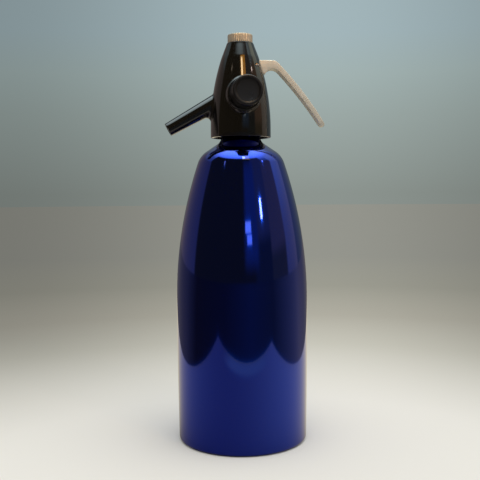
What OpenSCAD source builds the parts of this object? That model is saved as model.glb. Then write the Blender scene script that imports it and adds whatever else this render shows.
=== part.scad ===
// Soda siphon: a drawn aluminium pressure bottle with a moulded head that screws on its neck.
// The head holds a spout, a press lever that lifts a sprung valve, and a charging port
// behind a round screw cap. Millimetres; Z is up; the origin is the centre of the base.
// The spout points to -X, the lever to +X and the charging port to -Y.

/* [Bottle] */
// Radius of the bottle where it is widest
bottle_r = 51; // [45:0.5:62]
// Radius of the wall just above the base edge
base_r = 50.1; // [42:0.1:61]
// Height of the widest ring above the table
widest_z = 108.9; // [80:0.1:135]
// Height of the long flank arc above the widest ring
flank_h = 106.9; // [85:0.1:130]
// Radius at which the flank arc ends and the shoulder arc starts
shoulder_in_r = 33.5; // [29:0.5:41]
// Radius of the shoulder arc, seen from the side
shoulder_arc_r = 17; // [14:0.5:21]
// Angle from upright at which the shoulder arc ends in a short cone
shoulder_turn = 56; // [50:1:62]
// Radius of the fillet between shoulder and neck
neck_fillet_r = 9; // [6:0.5:11]
// Outer radius of the neck tube
neck_r = 14.6; // [12.5:0.1:17.6]
// Length of the straight neck, up to the top of its lip
neck_len = 13.5; // [12.8:0.1:18]
// Wall of the neck tube
neck_wall = 1.6; // [1.2:0.1:2]
// Sheet thickness of the body
wall_t = 1.2; // [0.8:0.1:2]
// How far the rolled lip stands out from the neck
lip_out = 2.4; // [1.8:0.1:3]
// Height of the rolled lip
lip_h = 2.4; // [1.8:0.1:3]
// Radius of the rounded base edge
base_edge_r = 3; // [2:0.1:4]
// Radius of the domed part of the bottom
dome_r = 44; // [38:0.5:46]
// Rise of the dome at its middle
dome_h = 7; // [4:0.5:9]

/* [Neck seal] */
// How far the threaded neck ring stands out from the neck
ring_out = 4; // [3.2:0.1:4.8]
// Height of the threaded neck ring
ring_h = 10; // [8:0.1:10.2]
// Thickness of the rubber neck washer
neck_washer_h = 1.7; // [1.4:0.1:2.1]
// Length of the measuring tube that hangs in the neck, from the top of the lip
measure_len = 38; // [26:0.5:46]
// Wall of the measuring tube
measure_wall = 0.8; // [0.6:0.1:1]

/* [Head casing] */
// Length of the skirt below the top of the bottle's lip
skirt_drop = 15.8; // [15:0.1:19]
// Height of the casing above the top of the bottle's lip
casing_h = 56.3; // [56:0.1:59]
// Radius of the casing's top edge
casing_top_r = 10.3; // [9.7:0.1:12]
// Length of the upright skirt before the casing starts to draw in
skirt_straight = 6.8; // [4:0.1:9]
// Radius of the casing's long side curve
casing_curve_r = 171.4; // [160:1:206]
// Height above the lip at which the side curve becomes a straight cone
cone_from_z = 45; // [44:0.5:47]
// Wall thickness of the casing
casing_wall = 2.2; // [1.8:0.1:2.5]

/* [Spout] */
// Slope of the spout below the horizontal
spout_drop = 29.4; // [25:0.1:33]
// Height above the lip at which the spout's axis crosses the head's axis
spout_z = 21.7; // [20:0.1:23]
// Length from the head's axis to the spout's tip, along the spout
spout_len = 64.4; // [54:0.1:77]
// Radius of the spout at its tip
spout_tip_r = 5.2; // [4.7:0.1:6.2]
// Half angle of the spout's taper
spout_taper = 2.1; // [1:0.1:3]
// Radius of the bore that the water leaves through
outlet_r = 3; // [2.5:0.1:3.5]
// Wall of the spout liner
liner_wall = 0.9; // [0.6:0.1:1.1]

/* [Charging port] */
// Height of the port's axis above the top of the bottle's lip
port_z = 15; // [14:0.1:15.6]
// Outer radius of the casing's boss round the port
boss_r = 12.75; // [11.5:0.05:13.4]
// How far the boss's face stands out from the skirt's surface
boss_out = 1.75; // [1:0.05:3.75]
// Outer radius of the nozzle's threaded barrel
nozzle_r = 8.5; // [7.2:0.1:9.4]
// How far the nozzle stands out from the boss's face
nozzle_out = 14.2; // [11.8:0.1:17]
// Radius of the socket that takes the neck of a gas bulb
bulb_socket_r = 4.7; // [4.4:0.1:5.2]
// Outer radius of the screw cap
charge_cap_r = 11.1; // [10.9:0.1:13.3]
// Length of the screw cap, from the boss's face to its front
charge_cap_len = 20; // [19:0.1:24]
// Depth of the round recess in the screw cap's front
cap_recess = 1; // [0.6:0.1:1.5]

/* [Lever] */
// Distance of the lever's pivot from the head's axis
pivot_x = 11.2; // [10.8:0.1:12]
// Height of the pivot above the top of the bottle's lip
pivot_z = 38.3; // [38:0.1:38.8]
// Radius of the pivot pin
pin_r = 1.5; // [1.2:0.1:1.8]
// Radius of the lever's hub
hub_r = 4.5; // [3.8:0.1:4.6]
// Width of the lever
lever_w = 8.8; // [7.4:0.1:10]
// Height of the lever's flat top above the pivot
lever_top = 5.2; // [4.8:0.1:5.6]
// Radius of the arch under the lever
arch_r = 6.6; // [5.6:0.1:7.6]
// Distance from the pivot to the middle of the arch, outwards
arch_x = 13.5; // [13:0.1:16.5]
// Distance from the pivot to the middle of the arch, downwards
arch_drop = 8.35; // [7.2:0.05:9.2]
// Slope of the arm from the horizontal where it starts
arm_slope = 46.4; // [43:0.1:51]
// Radius of the arm's bow, along its underside
arm_bow_r = 308; // [250:1:400]
// Length of the arm along its underside
arm_len = 52.6; // [43:0.1:63.2]
// Thickness of the arm where it starts
arm_t = 4.7; // [4:0.1:5.4]
// Thickness of the arm at its end
arm_tip_t = 3.8; // [3:0.1:4.4]
// Travel of the lever when it is pressed, in degrees
lever_travel = 12; // [8:1:13]

/* [Valve] */
// Radius of the valve's spindle
spindle_r = 2.5; // [2:0.1:2.6]
// Radius of the valve chamber
chamber_r = 5.6; // [5.2:0.1:6.4]
// Radius of the valve block that holds the chamber and both ports
block_r = 17.2; // [16:0.1:17.3]
// Radius of the collar that the lever lifts
collar_r = 6; // [5.6:0.1:6.1]
// Outer radius of the dip tube
tube_r = 4; // [3.6:0.1:4.6]
// Wall of the dip tube
tube_wall = 1.2; // [0.8:0.1:1.4]
// Gap between the dip tube and the bottle's bottom
tube_gap = 2.5; // [2:0.5:6]

/* [Top cap] */
// Outer radius of the top cap over its ribs
top_cap_r = 9.6; // [9.2:0.1:11.6]
// Height of the top cap above the casing
top_cap_h = 6.5; // [5:0.1:8]
// Number of ribs round the top cap
top_cap_ribs = 40; // [24:1:48]
// Radius of the top cap's threaded stem
stem_r = 7.5; // [7.2:0.1:7.9]
// Radius of the return spring's wire
spring_wire_r = 0.6; // [0.45:0.05:0.7]
// Number of turns in the return spring
spring_turns = 8; // [6:1:9]

/* [Fits] */
// Clearance round a thread or a pressed piece
fit = 0.05; // [0.02:0.01:0.1]
// Running clearance between pieces that move on each other
run = 0.1; // [0.06:0.01:0.1]
// Gap between moving pieces that face each other
face_gap = 0.15; // [0.1:0.05:0.3]
// Gap between moving pieces that pass with air between
air_gap = 0.3; // [0.2:0.05:0.4]

/* [Hidden] */

$fn = 96;
arc_steps = 24;
// Cutting bodies run past the faces they open by this much
over = 1;

// Bottle profile: where each arc starts and ends
flank_r = (pow(flank_h, 2) + pow(bottle_r - shoulder_in_r, 2)) / (2 * (bottle_r - shoulder_in_r));
flank_turn = asin(flank_h / flank_r);
shoulder_cx = shoulder_in_r - shoulder_arc_r * cos(flank_turn);
shoulder_cz = widest_z + flank_h - shoulder_arc_r * sin(flank_turn);
shoulder_end_r = shoulder_cx + shoulder_arc_r * cos(shoulder_turn);
shoulder_end_z = shoulder_cz + shoulder_arc_r * sin(shoulder_turn);
neck_fillet_cx = neck_r + neck_fillet_r;
cone_end_r = neck_fillet_cx - neck_fillet_r * cos(shoulder_turn);
cone_end_z = shoulder_end_z + (shoulder_end_r - cone_end_r) / tan(shoulder_turn);
neck_fillet_cz = cone_end_z + neck_fillet_r * sin(shoulder_turn);
neck_bore_r = neck_r - neck_wall;
lip_r = neck_r + lip_out;
// Top of the bottle's lip: every piece of the head is placed from here
lip_z = neck_fillet_cz + neck_len;
dome_arc_r = (pow(dome_r, 2) + pow(dome_h, 2)) / (2 * dome_h);

// Neck joint and skirt, from the neck outwards
ring_r = neck_r + ring_out;
measure_r = neck_bore_r - 0.2;
measure_flange_r = lip_r - 2.3;
measure_flange_h = 1;
cup_wall = 2.2;
cup_in_r = ring_r + run;
cup_r = cup_in_r + cup_wall;
skirt_in_r = cup_r + run;
skirt_r = skirt_in_r + casing_wall + fit;
deck_z = neck_washer_h + 2 * face_gap;
cup_lift = 1.4;
cup_top_z = deck_z + 3;
cup_chamfer = 0.9;
skirt_edge = 0.5;

// Casing side curve: centre of its arc, and the top cone
curve_z = skirt_straight - skirt_drop;
curve_cx = skirt_r - casing_curve_r;
curve_end = asin((cone_from_z - curve_z) / casing_curve_r);
cavity_from_z = deck_z + 0.1;
cavity_start = asin((cavity_from_z - curve_z) / casing_curve_r);
top_edge = 0.4;

// Valve block, bottom to top
spigot_r = 7.5;
spigot_drop = 5;
riser_r = 3;
seat_r = chamber_r - 0.15;
seat_floor_z = deck_z + 1;
seat_top_z = seat_floor_z + 5.5;
seat_lip_h = 0.8;
seat_bore_r = 2.4;
gland_r = chamber_r - 0.1;
seal_wire_r = 0.9;
seal_r = spindle_r + run + seal_wire_r;
seal_pocket_h = 2 * seal_wire_r + 0.2;
gland_thread_h = 3.3;
gland_head_h = 2.3;
gland_head_r = 5.75;
block_top_z = deck_z + 24;
chamber_top_z = block_top_z - 0.4;
column_r = 9.5;
column_top_z = chamber_top_z + 2 + seal_pocket_h + gland_thread_h + 0.1;

// Spindle, bottom to top
valve_washer_r = 3.9;
valve_washer_h = 2.2;
valve_washer_z = seat_top_z + seat_lip_h + run;
washer_proud = 0.8;
foot_r = 4.8;
foot_h = 3.3;
finger_t = 3;
collar_z = pivot_z + finger_t / 2 + run;
collar_h = 2.5;
spindle_thread_r = spindle_r - 0.5;
spindle_top_z = collar_z + collar_h + 4.6;

// Top cap, bush and spring
stem_z = casing_h - 9.6;
cap_under_z = casing_h + fit;
spring_pocket_r = stem_r - 1.5;
spring_pocket_z = cap_under_z + 2.5;
spring_r = spring_pocket_r - spring_wire_r - 0.8;
bush_r = stem_r + fit + 1.05;
bush_z = cone_from_z + 1;
coil_steps = 16;
coil_sides = 6;
top_washer_h = 0.8;
top_cap_edge = 0.9;
rib_depth = 0.25;

// Lever: the arm's underside, rounded end and top are arcs that run on into each other
arm_normal = 90 - arm_slope;
arch_c = [pivot_x + arch_x, pivot_z - arch_drop];
arm_under_c = arch_c - (arm_bow_r - arch_r) * [cos(arm_normal), sin(arm_normal)];
tip_normal = arm_normal - arm_len / arm_bow_r * 180 / PI;
tip_r = arm_tip_t / 2;
tip_c = arm_under_c + (arm_bow_r + tip_r) * [cos(tip_normal), sin(tip_normal)];
arm_top_start = arch_c + (arch_r + arm_t) * [cos(arm_normal), sin(arm_normal)];
arm_chord = tip_c - arm_top_start;
arm_top_r = (pow(tip_r, 2) - pow(norm(arm_chord), 2))
    / (2 * (arm_chord * [cos(arm_normal), sin(arm_normal)] + tip_r));
arm_top_c = arm_top_start - arm_top_r * [cos(arm_normal), sin(arm_normal)];
tip_top_normal = atan2(tip_c[1] - arm_top_c[1], tip_c[0] - arm_top_c[0]);
lever_top_z = pivot_z + lever_top;
heel_turn = 158;
crown_r = 4.8;
crown_z = lever_top_z - crown_r;
crown_x = arm_top_c[0] + sqrt(pow(arm_top_r - crown_r, 2) - pow(crown_z - arm_top_c[1], 2));
crown_turn = atan2(crown_z - arm_top_c[1], crown_x - arm_top_c[0]);
finger_in = spindle_r + air_gap;
slot_half = lever_w / 2 + air_gap;
heel = arch_c + arch_r * [cos(heel_turn), sin(heel_turn)] - [pivot_x, pivot_z];
slot_low_z = pivot_z + heel[1] * cos(lever_travel) - heel[0] * sin(lever_travel) - 2 * air_gap;
slot_high_z = lever_top_z + 1.1;
lug_from_x = collar_r + 1.4;
lug_half_h = 4.7;
pin_half = 11;

// Dip tube and its nut, hung under the spigot
tube_bore_r = tube_r - tube_wall;
tube_seal_h = 0.7;
flange_h = 1.5;
flange_r = spigot_r - 1;
nut_r = spigot_r + 3.45;
nut_lip = 2.3;
nut_grip = 4;
tube_end_z = dome_h + wall_t + tube_gap;
tube_slant = 20;
flange_top_z = deck_z - spigot_drop - 2 - tube_seal_h;

// Spout, measured along its own axis from the head's axis
liner_r = outlet_r + liner_wall;
socket_s = chamber_r + 4.4;
spout_seal_h = 1.5;
liner_from_s = socket_s + spout_seal_h + 2 * fit;
liner_end_s = spout_len - 0.4;
tip_edge = 0.3;

// Charging port, measured along -Y from the head's axis
port_thread_r = 5.5;
check_r = port_thread_r - 2.5;
boss_y = skirt_r + boss_out;
nozzle_y = boss_y + nozzle_out;
charge_cap_y = boss_y + charge_cap_len;
check_y = chamber_r + 4.2;
port_thread_y = check_y + 3.4;
gas_duct_r = 1;
gas_duct_y = check_y + 1.7;
barrel_y = block_r + run;
filter_y = nozzle_y - 16.1;
filter_r = 2.5;
filter_h = 1.2;
pin_seat_y = filter_y + filter_h + run;
bulb_seat_y = nozzle_y - 11.7;
gasket_h = 1.5;
needle_r = 1;
needle_y = bulb_seat_y + 3.5;
needle_tip_y = needle_y + 2.5;
needle_bore_r = 0.35;
liner_disc_h = 1.7;
cap_bore_r = nozzle_r + 0.08;
cap_from_y = boss_y + air_gap;
cap_floor_y = nozzle_y + liner_disc_h + 2 * air_gap;
cap_rim = 1.3;
cap_edge = 1.1;
boss_edge = 0.8;

// Points on an arc about centre c, from angle a0 to a1
function arc(c, r, a0, a1, steps = arc_steps) =
    [for (i = [0:steps]) let (a = a0 + (a1 - a0) * i / steps) c + r * [cos(a), sin(a)]];

// Places a piece of the head: z = 0 is the top of the bottle's lip
module at_lip() translate([0, 0, lip_z]) children();

// Turns +Z to run out along the spout
module along_spout() at_lip() translate([0, 0, spout_z]) rotate([0, -90 - spout_drop, 0]) children();

// Turns +Z to run out along the charging port
module along_port() at_lip() translate([0, 0, port_z]) rotate([90, 0, 0]) children();

// Turns an outline drawn in X and Z, so that it is w thick about Y = 0
module across(w) rotate([90, 0, 0]) translate([0, 0, -w / 2]) linear_extrude(w) children();

// A cylinder from z0 to z1
module rod(r, z0, z1) translate([0, 0, z0]) cylinder(r = r, h = z1 - z0);

// A ring from z0 to z1
module ring(r_out, r_in, z0, z1) difference() {
    rod(r_out, z0, z1);
    rod(r_in, z0 - over, z1 + over);
}

// Side outline of the bottle's skin, drawn in from the outer face by t
function skin(t) = concat(
    arc([base_r - base_edge_r, base_edge_r], base_edge_r - t, -90, 0, 8),
    arc([bottle_r - flank_r, widest_z], flank_r - t, 0, flank_turn),
    arc([shoulder_cx, shoulder_cz], shoulder_arc_r - t, flank_turn, shoulder_turn, 16),
    arc([neck_fillet_cx, neck_fillet_cz], neck_fillet_r + t, 180 + shoulder_turn, 180, 12)
);

// A solid of revolution from points of radius and height
module turned(points) rotate_extrude() polygon(points);

// Height of the dome in the bottle's bottom, drawn up by t
function dome(t) = arc([0, dome_h + t - dome_arc_r], dome_arc_r, 90 - asin(dome_r / dome_arc_r), 90, 12);

// Drawn aluminium shell with a domed bottom, a narrow neck and a rolled lip
module bottle() color("midnightblue") difference() {
    union() {
        turned(concat(skin(0), [[0, neck_fillet_cz], [0, 0]]));
        rod(neck_r, neck_fillet_cz - over, lip_z);
        rod(lip_r - lip_h / 2, lip_z - lip_h, lip_z);
        translate([0, 0, lip_z - lip_h / 2]) rotate_extrude()
            translate([lip_r - lip_h / 2, 0]) circle(r = lip_h / 2);
    }
    turned(concat(dome(wall_t), [[0, neck_fillet_cz]], [for (i = [len(skin(0)) - 1:-1:0]) skin(wall_t)[i]]));
    rod(neck_bore_r, shoulder_end_z, lip_z + over);
    turned(concat([[0, -over], [dome_r, -over]], dome(0)));
}

// Threaded ring held on the neck under the lip
module neck_ring() color("silver") at_lip() difference() {
    rod(ring_r, -lip_h - ring_h, -lip_h);
    rod(neck_r + fit, -lip_h - ring_h - over, -lip_h + over);
}

// Thin tube that hangs in the neck by its flange and sets how far the bottle can be filled
module measuring_tube() color("ivory") at_lip() difference() {
    union() {
        rod(measure_r, -measure_len, face_gap + measure_flange_h);
        rod(measure_flange_r, face_gap, face_gap + measure_flange_h);
    }
    rod(measure_r - measure_wall, -measure_len - over, face_gap + measure_flange_h + over);
}

// Rubber washer between the lip and the valve block
module neck_washer() color("dimgray") at_lip()
    ring(lip_r + 0.3, measure_flange_r + air_gap, face_gap, face_gap + neck_washer_h);

// Side curve of the casing, drawn in from the outer face by t, from angle a0 up to the cone
function casing_curve(t, a0) = arc([curve_cx, curve_z], casing_curve_r - t, a0, curve_end);

// Outer form of the moulded casing, without the spout and the boss
module casing_form() turned(concat(
    [[0, -skirt_drop], [skirt_r - skirt_edge, -skirt_drop], [skirt_r, -skirt_drop + skirt_edge]],
    casing_curve(0, 0),
    [[casing_top_r, casing_h - top_edge], [casing_top_r - top_edge, casing_h], [0, casing_h]]));

// Space inside the casing, open at the bottom
module casing_cavity() turned(concat(
    [[0, -skirt_drop - over], [skirt_in_r, -skirt_drop - over], [skirt_in_r, cavity_from_z]],
    casing_curve(casing_wall, cavity_start), [[0, cone_from_z]]));

// Moulded head casing: skirt, tapering body, spout, port boss and the lugs that hold the lever's pin
module head_casing() color([0.07, 0.07, 0.08]) difference() {
    union() {
        difference() {
            union() {
                at_lip() casing_form();
                along_spout() turned([[0, 0], [spout_tip_r + spout_len * tan(spout_taper), 0],
                    [spout_tip_r + tip_edge * tan(spout_taper), spout_len - tip_edge],
                    [spout_tip_r - tip_edge, spout_len], [0, spout_len]]);
                along_port() turned([[0, 0], [boss_r, 0], [boss_r, boss_y - boss_edge],
                    [boss_r - boss_edge, boss_y], [0, boss_y]]);
            }
            at_lip() casing_cavity();
        }
        at_lip() intersection() {
            casing_form();
            translate([lug_from_x, -skirt_r, pivot_z - lug_half_h]) cube([skirt_r, 2 * skirt_r, 2 * lug_half_h]);
        }
    }
    at_lip() rod(bush_r + fit, cone_from_z - over, casing_h + over);
    at_lip() rod(bush_r + 0.6, casing_h - top_washer_h, casing_h + over);
    along_spout() rod(liner_r + fit, 0, spout_len + over);
    along_port() rod(nozzle_r + fit, 0, boss_y + over);
    at_lip() translate([lug_from_x - over, -slot_half, slot_low_z])
        cube([skirt_r, 2 * slot_half, slot_high_z - slot_low_z]);
    at_lip() translate([pivot_x, 0, pivot_z]) rotate([90, 0, 0])
        cylinder(r = pin_r + 0.02, h = 2 * skirt_r, center = true);
}

// Moulded valve block: threaded cup for the neck, valve chamber, spout socket and gas duct
module valve_body() color("burlywood") difference() {
    at_lip() union() {
        turned([[0, cup_lift - skirt_drop], [cup_r, cup_lift - skirt_drop], [cup_r, deck_z - 1.5],
            [cup_r - cup_chamfer, cup_top_z], [0, cup_top_z]]);
        rod(block_r, cup_top_z - over, block_top_z);
        rod(column_r, block_top_z - over, column_top_z);
    }
    at_lip() difference() {
        rod(cup_in_r, -skirt_drop - over, deck_z);
        rod(spigot_r, deck_z - spigot_drop - 2, deck_z + over);
    }
    at_lip() rod(riser_r, -skirt_drop, seat_floor_z + over);
    at_lip() rod(seat_r + fit, seat_floor_z, seat_top_z + over);
    at_lip() rod(chamber_r, seat_top_z, chamber_top_z);
    at_lip() rod(spindle_r + run, chamber_top_z - over, column_top_z + over);
    at_lip() rod(seal_r + seal_wire_r, column_top_z - gland_thread_h - 0.1 - seal_pocket_h, column_top_z + over);
    at_lip() rod(gland_r + fit, column_top_z - gland_thread_h - 0.1, column_top_z + over);
    along_spout() rod(outlet_r - 0.4, 0, socket_s + over);
    along_spout() rod(liner_r + fit, socket_s, spout_len);
    along_port() rod(check_r + fit, check_y, port_thread_y + over);
    along_port() rod(port_thread_r + fit, port_thread_y, 2 * block_r);
    at_lip() translate([0, -gas_duct_y, 0]) rod(gas_duct_r, 0, port_z);
}

// Brass seat with a raised lip that the valve closes on
module valve_seat() color("goldenrod") at_lip() difference() {
    union() {
        rod(seat_r, seat_floor_z, seat_top_z);
        turned([[0, seat_top_z], [seat_bore_r + 1.4, seat_top_z],
            [seat_bore_r + 0.8, seat_top_z + seat_lip_h], [0, seat_top_z + seat_lip_h]]);
    }
    rod(seat_bore_r, seat_floor_z - over, seat_top_z + seat_lip_h + over);
}

// Rubber disc in the spindle's foot
module valve_washer() color("dimgray") at_lip()
    rod(valve_washer_r, valve_washer_z, valve_washer_z + valve_washer_h);

// Valve spindle: cupped foot, guided stem and a thinner threaded top
module spindle() color("silver") at_lip() difference() {
    turned([[0, valve_washer_z + washer_proud], [foot_r, valve_washer_z + washer_proud],
        [foot_r, valve_washer_z + foot_h], [spindle_r, valve_washer_z + foot_h + 1.2],
        [spindle_r, collar_z], [spindle_thread_r, collar_z], [spindle_thread_r, spindle_top_z - 0.5],
        [spindle_thread_r - 0.5, spindle_top_z], [0, spindle_top_z]]);
    rod(valve_washer_r + fit, valve_washer_z, valve_washer_z + valve_washer_h + fit);
}

// Collar screwed on the spindle: the lever lifts it and the spring presses it down
module spindle_collar() color("silver") at_lip()
    ring(collar_r, spindle_thread_r + fit, collar_z, collar_z + collar_h);

// Rubber ring that seals the spindle
module spindle_seal() color("dimgray") at_lip()
    translate([0, 0, column_top_z - gland_thread_h - 0.1 - seal_pocket_h / 2]) rotate_extrude()
        translate([seal_r, 0]) circle(r = seal_wire_r - 0.02, $fn = 32);

// Brass gland nut that holds the seal and guides the spindle
module gland_nut() color("goldenrod") at_lip() difference() {
    union() {
        rod(gland_r, column_top_z - gland_thread_h, column_top_z);
        translate([0, 0, column_top_z]) cylinder(r = gland_head_r, h = gland_head_h, $fn = 6);
    }
    rod(spindle_r + run, column_top_z - gland_thread_h - over, column_top_z + gland_head_h + over);
}

// Point i of n on the spring's middle line, from z0 to z1
function coil_point(i, n, z0, z1) = let (a = 360 * i / coil_steps)
    [spring_r * cos(a), spring_r * sin(a), z0 + (z1 - z0) * i / n];

// Steel return spring between the collar and the top cap
module return_spring() color("lightgray") at_lip() {
    z0 = collar_z + collar_h + fit + spring_wire_r;
    z1 = spring_pocket_z - fit - spring_wire_r;
    n = spring_turns * coil_steps;
    points = [for (i = [0:n]) let (p = coil_point(i, n, z0, z1), a = 360 * i / coil_steps)
        for (j = [0:coil_sides - 1]) let (b = 360 * j / coil_sides)
            p + spring_wire_r * (cos(b) * [cos(a), sin(a), 0] + sin(b) * [0, 0, 1])];
    sides = [for (i = [0:n - 1]) for (j = [0:coil_sides - 1]) let (k = (j + 1) % coil_sides)
        each [[i * coil_sides + j, (i + 1) * coil_sides + j, (i + 1) * coil_sides + k],
            [i * coil_sides + j, (i + 1) * coil_sides + k, i * coil_sides + k]]];
    first = [[for (j = [0:coil_sides - 1]) j]];
    last = [[for (j = [coil_sides - 1:-1:0]) n * coil_sides + j]];
    polyhedron(points, concat(sides, first, last));
}

// Threaded brass bush moulded into the casing's top
module top_bush() color("goldenrod") at_lip()
    ring(bush_r, stem_r + fit, bush_z, casing_h - top_washer_h - fit);

// Ribbed outline of the top cap
module ribbed(r, n, depth) polygon([for (i = [0:2 * n - 1])
    let (a = 180 * i / n, q = i % 2 == 0 ? r : r - depth) q * [cos(a), sin(a)]]);

// Plated screw cap: ribbed head, hollow threaded stem that holds the spring
module top_cap() color("tan") at_lip() difference() {
    union() {
        intersection() {
            translate([0, 0, cap_under_z]) linear_extrude(top_cap_h) ribbed(top_cap_r, top_cap_ribs, rib_depth);
            turned([[0, cap_under_z], [top_cap_r - 0.3, cap_under_z], [top_cap_r + 0.1, cap_under_z + 0.4],
                [top_cap_r + 0.1, cap_under_z + top_cap_h - top_cap_edge],
                [top_cap_r - top_cap_edge, cap_under_z + top_cap_h], [0, cap_under_z + top_cap_h]]);
        }
        rod(stem_r, stem_z, cap_under_z + over);
    }
    rod(spring_pocket_r, stem_z - over, spring_pocket_z);
}

// Fibre washer under the top cap
module top_cap_washer() color("dimgray") at_lip()
    ring(bush_r + 0.5, stem_r + fit, casing_h - top_washer_h + fit, casing_h - fit);

// Side outline of the lever from its hub outwards: flat top, crown, bowed arm, rounded end and arch
module lever_outline() polygon(concat(
    [[pivot_x, pivot_z + hub_r - fit], [pivot_x + 2, lever_top_z]],
    arc([crown_x, crown_z], crown_r, 90, crown_turn, 10),
    arc(arm_top_c, arm_top_r, crown_turn, tip_top_normal),
    arc(tip_c, tip_r, tip_top_normal, tip_normal - 180, 10),
    arc(arm_under_c, arm_bow_r, tip_normal, arm_normal),
    arc(arch_c, arch_r, arm_normal, heel_turn, 16),
    [[pivot_x, pivot_z - hub_r + fit]]));

// Outline of the lever seen from above: straight sides and a rounded end
module lever_plan() polygon(concat(
    [[-spindle_r - finger_t, -lever_w / 2]],
    arc([tip_c[0] + tip_r - lever_w / 2, 0], lever_w / 2, -90, 90, 16),
    [[-spindle_r - finger_t, lever_w / 2]]));

// Cast lever: forked inner end, hub on the pin, arch and drooping arm
module lever() color("wheat") at_lip() difference() {
    intersection() {
        union() {
            across(lever_w) lever_outline();
            across(lever_w) translate([pivot_x, pivot_z]) circle(r = hub_r);
            across(lever_w) translate([0, pivot_z]) circle(r = finger_t / 2);
            across(lever_w) translate([0, pivot_z - finger_t / 2]) square([pivot_x, finger_t]);
        }
        translate([0, 0, tip_c[1] - 2 * arm_tip_t]) linear_extrude(lever_top_z + arm_len) lever_plan();
    }
    translate([-spindle_r - finger_t, -finger_in, pivot_z - hub_r - over])
        cube([spindle_r + finger_t + finger_in + 0.4, 2 * finger_in, 2 * hub_r + 2 * over]);
    translate([pivot_x, 0, pivot_z]) rotate([90, 0, 0])
        cylinder(r = pin_r + fit, h = lever_w + 2 * over, center = true);
}

// Steel pin that the lever turns on
module lever_pin() color("gray") at_lip() translate([pivot_x, 0, pivot_z]) rotate([90, 0, 0])
    cylinder(r = pin_r, h = 2 * pin_half, center = true);

// Tube that carries the water up from the bottom of the bottle
module dip_tube() color("ivory") difference() {
    union() {
        rod(tube_r, tube_end_z, lip_z + flange_top_z);
        at_lip() rod(flange_r, flange_top_z - flange_h, flange_top_z);
    }
    rod(tube_bore_r, tube_end_z - over, lip_z + flange_top_z + over);
    translate([-tube_r, -tube_r - over, tube_end_z]) rotate([0, -tube_slant, 0])
        translate([-tube_r, 0, -4 * tube_r]) cube([4 * tube_r, 2 * tube_r + 2 * over, 4 * tube_r]);
}

// Washer between the dip tube's flange and the spigot
module tube_seal() color("dimgray") at_lip()
    ring(flange_r, riser_r + 0.1, flange_top_z, flange_top_z + tube_seal_h);

// Hexagon nut that clamps the dip tube to the spigot
module tube_nut() color("goldenrod") at_lip() difference() {
    translate([0, 0, flange_top_z - flange_h - nut_lip])
        cylinder(r = nut_r, h = nut_lip + flange_h + tube_seal_h + nut_grip, $fn = 6);
    rod(tube_r + run, flange_top_z - flange_h - nut_lip - over, flange_top_z);
    rod(spigot_r + fit, flange_top_z - flange_h, flange_top_z + tube_seal_h + nut_grip + over);
}

// Tube that lines the spout
module spout_liner() color("whitesmoke") along_spout() ring(liner_r, outlet_r, liner_from_s, liner_end_s);

// Rubber ring at the inner end of the liner
module spout_seal() color("dimgray") along_spout()
    ring(liner_r, outlet_r + 0.1, socket_s + fit, socket_s + fit + spout_seal_h);

// Brass nozzle that a gas bulb's holder, or the cap, screws on
module charge_nozzle() color("goldenrod") along_port() difference() {
    union() {
        rod(port_thread_r, port_thread_y + fit, barrel_y + over);
        turned([[0, barrel_y], [nozzle_r, barrel_y], [nozzle_r, nozzle_y - 0.6],
            [nozzle_r - 0.6, nozzle_y], [0, nozzle_y]]);
    }
    rod(gas_duct_r, port_thread_y - over, filter_y + over);
    rod(filter_r + fit, filter_y, bulb_seat_y + over);
    rod(bulb_socket_r, bulb_seat_y, nozzle_y + over);
}

// Hollow steel pin that opens the bulb
module piercing_pin() color("silver") along_port() difference() {
    turned([[0, pin_seat_y], [filter_r, pin_seat_y], [filter_r, bulb_seat_y], [needle_r, bulb_seat_y],
        [needle_r, needle_y], [needle_bore_r + 0.1, needle_tip_y], [0, needle_tip_y]]);
    rod(needle_bore_r, pin_seat_y - over, needle_tip_y + over);
}

// Rubber gasket that the bulb's neck is pressed on
module bulb_gasket() color("dimgray") along_port()
    ring(bulb_socket_r - fit, needle_r + 0.6, bulb_seat_y, bulb_seat_y + gasket_h);

// Sintered disc that keeps scale out of the duct
module gas_filter() color("peru") along_port() rod(filter_r, filter_y, filter_y + filter_h);

// Rubber duckbill that lets gas in and keeps water back
module check_valve() color("dimgray") along_port() difference() {
    turned([[0, check_y + 0.2], [0.9, check_y + 0.2], [check_r - 0.8, port_thread_y - 1.2],
        [check_r, port_thread_y - 1.2], [check_r, port_thread_y], [0, port_thread_y]]);
    rod(0.5, check_y + 1, port_thread_y + over);
}

// Moulded screw cap that covers the port
module charge_cap() color([0.1, 0.1, 0.1]) along_port() difference() {
    turned([[0, cap_from_y], [charge_cap_r - 0.4, cap_from_y], [charge_cap_r, cap_from_y + 0.4],
        each arc([charge_cap_r - cap_edge, charge_cap_y - cap_edge], cap_edge, 0, 90, 6), [0, charge_cap_y]]);
    rod(cap_bore_r, cap_from_y - over, cap_floor_y);
    turned([[0, charge_cap_y - cap_recess], [charge_cap_r - cap_rim - cap_recess / 2, charge_cap_y - cap_recess],
        [charge_cap_r - cap_rim, charge_cap_y], [charge_cap_r - cap_rim, charge_cap_y + over],
        [0, charge_cap_y + over]]);
}

// Rubber disc inside the cap: it rides out with the cap but doesn't turn
module cap_liner() color("dimgray") along_port()
    rod(nozzle_r - 0.2, nozzle_y + air_gap, nozzle_y + air_gap + liner_disc_h);

bottle();
neck_ring();
measuring_tube();
neck_washer();
head_casing();
valve_body();
valve_seat();
valve_washer();
spindle();
spindle_collar();
spindle_seal();
gland_nut();
return_spring();
top_bush();
top_cap();
top_cap_washer();
lever();
lever_pin();
dip_tube();
tube_seal();
tube_nut();
spout_liner();
spout_seal();
charge_nozzle();
piercing_pin();
bulb_gasket();
gas_filter();
check_valve();
charge_cap();
cap_liner();
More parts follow.
